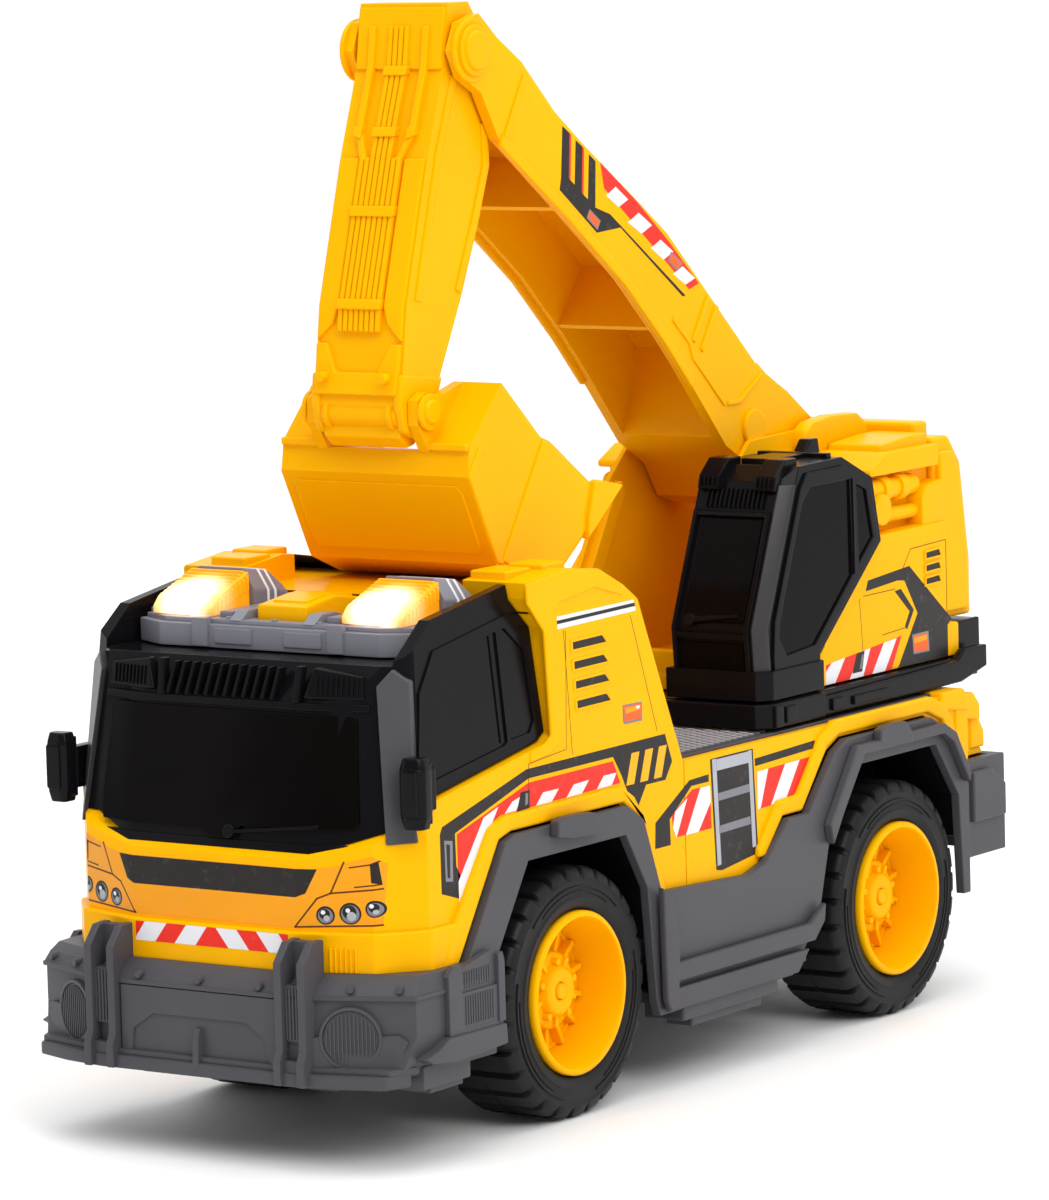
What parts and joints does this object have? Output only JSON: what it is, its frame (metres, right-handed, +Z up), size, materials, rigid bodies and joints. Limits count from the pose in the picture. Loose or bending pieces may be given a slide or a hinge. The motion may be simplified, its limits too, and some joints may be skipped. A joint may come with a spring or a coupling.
{
  "type": "toy excavator truck",
  "caption": "Free-rolling toy lorry with a swivelling turret, a hinged boom, arm and bucket, and a sprung button between two amber beacons on its cab roof.",
  "frame": {"origin": "on the ground under the middle of the truck's footprint", "axes": "+Z up, -Y the way the truck drives, +X the driver's side, where the operator's cab stands"},
  "size_m": [0.1164, 0.308, 0.28],
  "materials": {
    "yellow": "glossy injection moulded, amber yellow",
    "dark_grey": "satin dark grey moulding",
    "pale_grey": "satin light grey moulding",
    "amber": "translucent ribbed amber lens, modelled opaque",
    "black": "gloss black moulding",
    "steel": "bright drawn wire and screws",
    "board": "green circuit board",
    "tyre": "hard black tyre, satin"
  },
  "bodies": {
    "truck": {"chassis_frame": "dark_grey", "sound_board": "board", "speaker": "black", "battery_cradle": "black", "battery_1": "steel", "battery_2": "steel", "battery_cover": "dark_grey", "battery_cover_screw": "steel", "cab_shell": "yellow", "windscreen_frame": "black", "mirror_left": "black", "mirror_right": "black", "roof_light_bar": "pale_grey", "beacon_lens_left": "amber", "beacon_lens_right": "amber", "beacon_cap_left": "pale_grey", "beacon_cap_right": "pale_grey", "led_left": "amber", "led_right": "amber", "switch_board": "board", "button_spring": "steel", "front_bumper": "dark_grey", "rear_bumper": "dark_grey", "rear_body": "yellow", "deck_plate": "dark_grey", "side_skirt_left": "dark_grey", "side_skirt_right": "dark_grey"},
    "roof_button": {"roof_button": "yellow"},
    "front_wheels": {"front_axle": "steel", "rim_front_left": "yellow", "rim_front_right": "yellow", "tyre_front_left": "tyre", "tyre_front_right": "tyre"},
    "rear_wheels": {"rear_axle": "steel", "rim_rear_left": "yellow", "rim_rear_right": "yellow", "tyre_rear_left": "tyre", "tyre_rear_right": "tyre"},
    "turret": {"turret_base": "black", "swivel_retainer": "dark_grey", "swivel_screw": "steel", "turret_housing": "yellow", "counterweight": "yellow", "operator_cab": "black", "boom_pin": "steel"},
    "boom": {"boom": "yellow", "elbow_pin": "steel", "elbow_cap_left": "yellow", "elbow_cap_right": "yellow"},
    "arm": {"arm": "yellow"},
    "bucket": {"bucket": "yellow", "bucket_pin": "steel", "bucket_cap_left": "yellow", "bucket_cap_right": "yellow"}
  },
  "joints": [
    {"name": "front_axle_spin", "type": "hinge", "parent": "truck", "child": "front_wheels", "pos_m": [0, -0.066, 0.032], "axis": [1, 0, 0], "continuous": true},
    {"name": "rear_axle_spin", "type": "hinge", "parent": "truck", "child": "rear_wheels", "pos_m": [0, 0.09, 0.032], "axis": [1, 0, 0], "continuous": true},
    {"name": "roof_button_press", "type": "slide", "parent": "truck", "child": "roof_button", "axis": [0, 0, -1], "range_m": [0, 0.002], "stiffness_N_per_m": 300, "springref_m": -0.0005, "deforming": ["button_spring"]},
    {"name": "turret_swivel", "type": "hinge", "parent": "truck", "child": "turret", "pos_m": [0, 0.084, 0.085], "axis": [0, 0, 1], "continuous": true},
    {"name": "boom_lift", "type": "hinge", "parent": "turret", "child": "boom", "pos_m": [0, 0.094, 0.146], "axis": [-1, 0, 0], "range_deg": [0, 30]},
    {"name": "arm_swing", "type": "hinge", "parent": "boom", "child": "arm", "pos_m": [0, -0.0476, 0.2679], "axis": [-1, 0, 0], "range_deg": [-20, 75]},
    {"name": "bucket_curl", "type": "hinge", "parent": "arm", "child": "bucket", "pos_m": [0, -0.0714, 0.1782], "axis": [1, 0, 0], "range_deg": [0, 45]}
  ]
}
